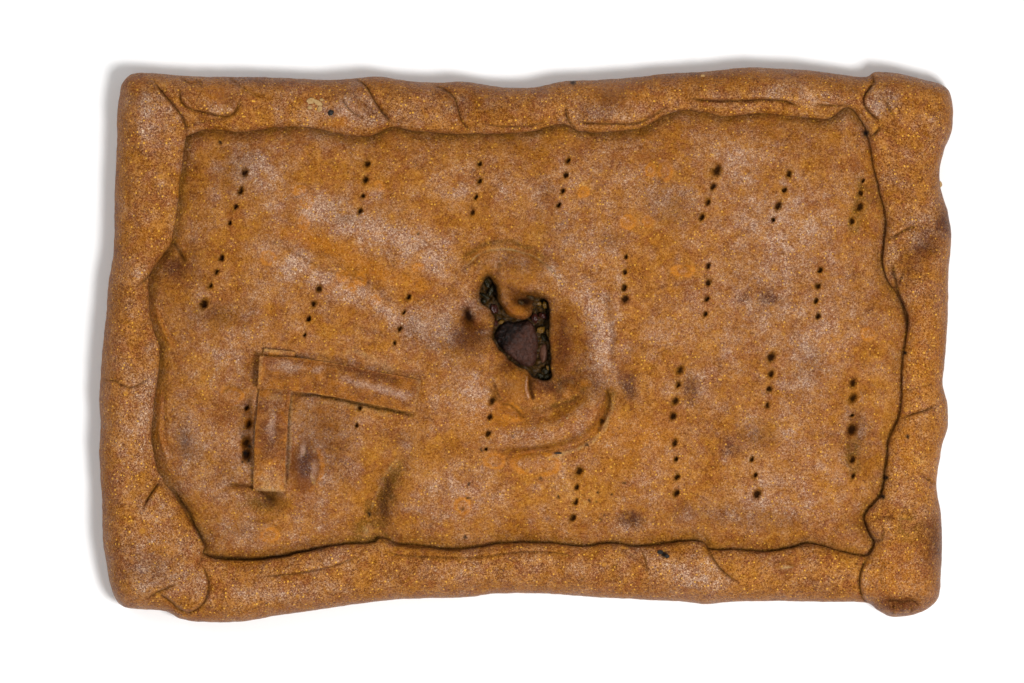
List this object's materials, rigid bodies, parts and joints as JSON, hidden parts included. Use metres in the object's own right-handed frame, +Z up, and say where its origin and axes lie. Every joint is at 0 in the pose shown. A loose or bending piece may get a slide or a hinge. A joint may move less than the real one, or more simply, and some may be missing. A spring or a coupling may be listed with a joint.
{
  "type": "galician empanada",
  "caption": "Whole rectangular savoury pie with a rolled rim folded over its lid, fork pricks, a torn steam vent that shows the meat filling, and dough strips on top.",
  "frame": {"origin": "middle of the pie's box in plan, on the surface that its flat underside rests on", "axes": "+X along the long side, towards the plain end away from the dough strips; +Y across, towards the upper side of the view from above; +Z up"},
  "size_m": [0.3597, 0.2338, 0.0341],
  "materials": {
    "crust_rim": "baked dough, satin, mottled brown",
    "crust_lid": "baked dough, satin, mottled brown with pale specks",
    "dough_strip": "baked dough, brushed with egg, glossy reddish brown",
    "filling": "moist, dark brown, lumpy",
    "meat": "moist cooked meat, dark purple brown",
    "pepper": "moist cooked pepper, dark olive"
  },
  "bodies": {
    "root": {"base_crust": "crust_rim", "lid": "crust_lid", "strip_short": "dough_strip", "strip_long": "dough_strip", "filling": "filling", "meat_large": "meat", "meat_small": "meat", "pepper_piece": "pepper"}
  },
  "joints": []
}
